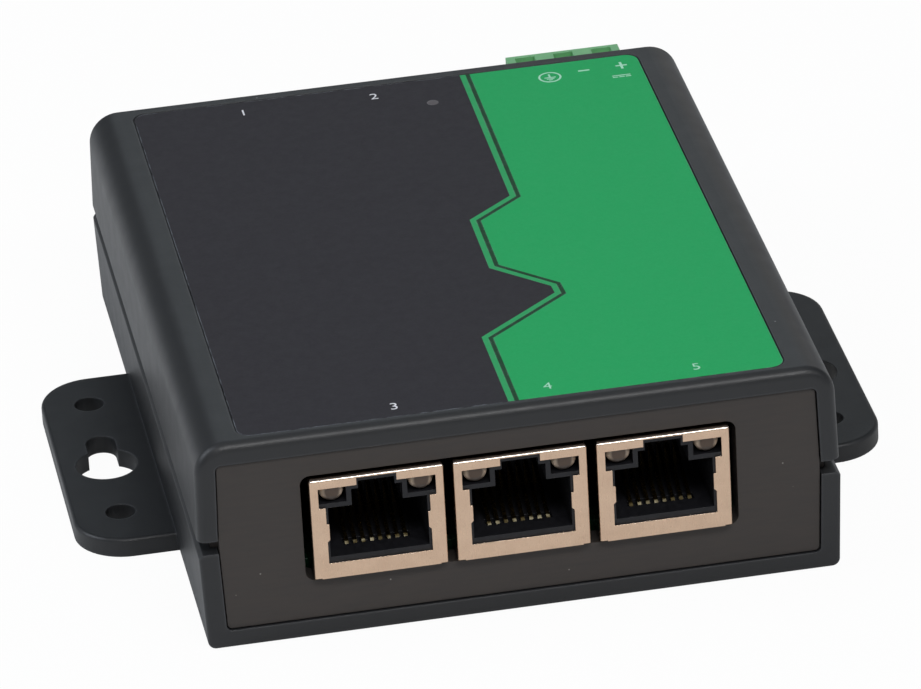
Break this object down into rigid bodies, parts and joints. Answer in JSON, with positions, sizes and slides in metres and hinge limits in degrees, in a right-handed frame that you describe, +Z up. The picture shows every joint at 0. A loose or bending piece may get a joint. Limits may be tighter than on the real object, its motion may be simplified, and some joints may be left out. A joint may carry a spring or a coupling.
{
  "type": "ethernet switch",
  "caption": "Compact network switch in a two-part moulded case with mounting ears, shielded RJ45 sockets in both ends and a pluggable power terminal.",
  "frame": {"origin": "centre of the case's footprint on its flat underside, which is also the centre of the four ear holes", "axes": "+Z up out of the lid, -Y out of the end with three sockets, +X to the right as seen from that end"},
  "size_m": [0.1008, 0.106, 0.0272],
  "materials": {
    "case_plastic": "fine moulded texture",
    "panel_plastic": "matt, faint brush",
    "label_film": "printed polyester, satin",
    "board_laminate": "solder mask",
    "shield_steel": "tin plated",
    "socket_plastic": "moulded",
    "contact_gilding": "gilt",
    "lamp_resin": "frosted clear",
    "chip_resin": "moulded epoxy",
    "can_metal": "drawn can",
    "can_aluminium": "drawn can",
    "ferrite": "sintered",
    "fuse_polymer": "moulded",
    "terminal_plastic": "moulded polyamide",
    "tinned_brass": "tin plated",
    "screw_steel": "zinc plated",
    "clear_resin": "clear"
  },
  "bodies": {
    "root": {"back_panel": "panel_plastic", "bottom_base": "case_plastic", "case_screws": "screw_steel", "clamp_cages": "tinned_brass", "clamp_screws": "screw_steel", "crystal": "can_metal", "front_panel": "panel_plastic", "header_pins": "tinned_brass", "input_capacitor": "can_aluminium", "input_diode": "chip_resin", "input_fuse": "fuse_polymer", "jack_1_contacts": "contact_gilding", "jack_1_housing": "socket_plastic", "jack_1_lamps": "lamp_resin", "jack_1_shield": "shield_steel", "jack_2_contacts": "contact_gilding", "jack_2_housing": "socket_plastic", "jack_2_lamps": "lamp_resin", "jack_2_shield": "shield_steel", "jack_3_contacts": "contact_gilding", "jack_3_housing": "socket_plastic", "jack_3_lamps": "lamp_resin", "jack_3_shield": "shield_steel", "jack_4_contacts": "contact_gilding", "jack_4_housing": "socket_plastic", "jack_4_lamps": "lamp_resin", "jack_4_shield": "shield_steel", "jack_5_contacts": "contact_gilding", "jack_5_housing": "socket_plastic", "jack_5_lamps": "lamp_resin", "jack_5_shield": "shield_steel", "light_pipe": "clear_resin", "main_board": "board_laminate", "output_capacitor": "can_aluminium", "port_transformer_1": "chip_resin", "port_transformer_2": "chip_resin", "port_transformer_3": "chip_resin", "port_transformer_4": "chip_resin", "port_transformer_5": "chip_resin", "power_inductor": "ferrite", "power_lamp": "clear_resin", "regulator_chip": "chip_resin", "surge_suppressor": "chip_resin", "switch_chip": "chip_resin", "terminal_header": "terminal_plastic", "terminal_plug": "terminal_plastic", "top_cover": "case_plastic", "top_label": "label_film"}
  },
  "joints": []
}
